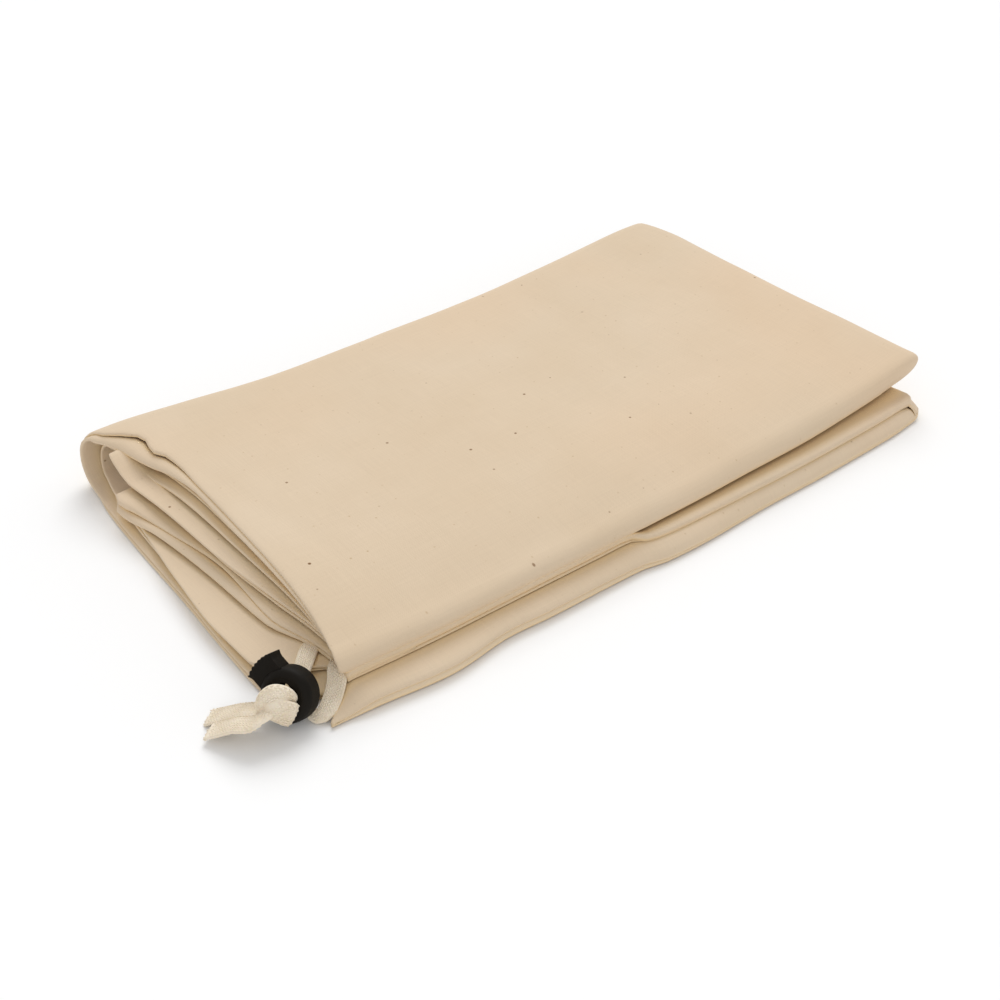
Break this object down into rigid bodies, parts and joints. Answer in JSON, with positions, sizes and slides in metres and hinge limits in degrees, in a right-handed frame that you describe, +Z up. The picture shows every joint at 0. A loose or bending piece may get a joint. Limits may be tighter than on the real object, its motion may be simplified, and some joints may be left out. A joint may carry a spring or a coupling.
{
  "type": "folded drawstring laundry bag",
  "caption": "Natural cotton drawstring laundry bag folded into a flat bundle, with a knotted flat cord and a sprung round cord lock at its open end.",
  "frame": {"origin": "under the middle of the folded cloth, on the surface it lies on", "axes": "+X along the bundle from its open left end to its right fold, +Y from the front to the back fold, +Z up"},
  "size_m": [0.3375, 0.1864, 0.0248],
  "materials": {
    "cotton_cloth": "unbleached plain weave, matt",
    "cotton_cord": "flat braid, matt",
    "lock_plastic": "moulded, satin black"
  },
  "bodies": {
    "bag": {"bag_cloth": "cotton_cloth", "lock_body": "lock_plastic", "cord_upper": "cotton_cord", "cord_lower": "cotton_cord", "cord_knot": "cotton_cord", "cord_end_back": "cotton_cord", "cord_end_front": "cotton_cord"},
    "plunger": {"lock_plunger": "lock_plastic"}
  },
  "joints": [
    {"name": "plunger_press", "type": "slide", "parent": "bag", "child": "plunger", "axis": [-0.142, 0.8629, 0.485], "range_m": [-0.004, 0], "stiffness_N_per_m": 1200, "springref_m": 0.002}
  ]
}
